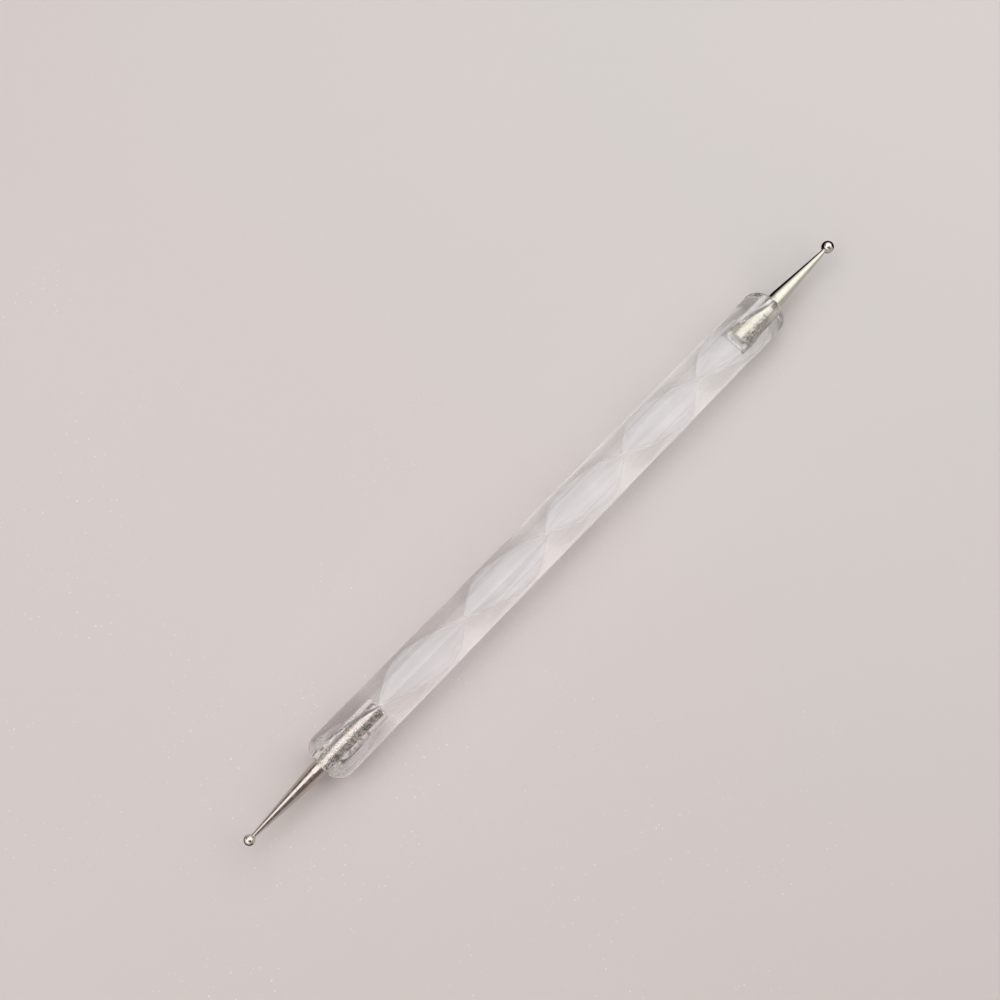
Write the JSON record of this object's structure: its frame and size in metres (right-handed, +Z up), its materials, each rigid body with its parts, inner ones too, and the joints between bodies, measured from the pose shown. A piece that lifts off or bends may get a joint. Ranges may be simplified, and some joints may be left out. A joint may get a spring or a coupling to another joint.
{
  "type": "embossing stylus",
  "caption": "Slim clear rod with a twisted ribbon cast inside and a tapered metal stem with a small polished ball at each end, for pressing lines and dots.",
  "frame": {"origin": "middle of the clear rod, on its axis", "axes": "+X along the rod's axis from the small ball towards the large ball, +Z up as the tool lies on its side"},
  "size_m": [0.1281, 0.0074, 0.0074],
  "materials": {
    "clear_rod": "clear acrylic, polished",
    "ribbon": "pearly white, translucent",
    "stem_metal": "turned and plated",
    "ball_metal": "polished",
    "adhesive": "clear, slightly yellowed"
  },
  "bodies": {
    "root": {"handle_rod": "clear_rod", "swirl_ribbon": "ribbon", "small_end_stem": "stem_metal", "small_end_ball": "ball_metal", "small_end_adhesive": "adhesive", "large_end_stem": "stem_metal", "large_end_ball": "ball_metal", "large_end_adhesive": "adhesive"}
  },
  "joints": []
}
